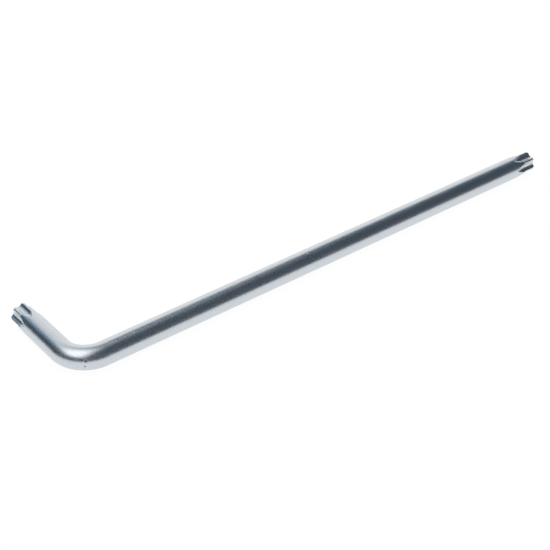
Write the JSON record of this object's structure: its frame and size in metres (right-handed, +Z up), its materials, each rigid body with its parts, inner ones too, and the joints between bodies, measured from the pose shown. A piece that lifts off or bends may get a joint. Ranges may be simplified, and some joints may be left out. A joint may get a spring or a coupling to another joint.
{
  "type": "star key",
  "caption": "L-shaped star key: a round steel bar with a right-angle bend and a fluted star tip at the end of each arm, for turning star-socket screws.",
  "frame": {"origin": "on the surface that the key lies on, at the middle of the rectangle that it covers", "axes": "+X along the long arm towards its tip, +Y along the short arm towards its tip, +Z up from the surface"},
  "size_m": [0.2338, 0.0446, 0.0092],
  "materials": {
    "satin_chrome": "satin chrome plating on alloy steel"
  },
  "bodies": {
    "root": {"key_bar": "satin_chrome"}
  },
  "joints": []
}
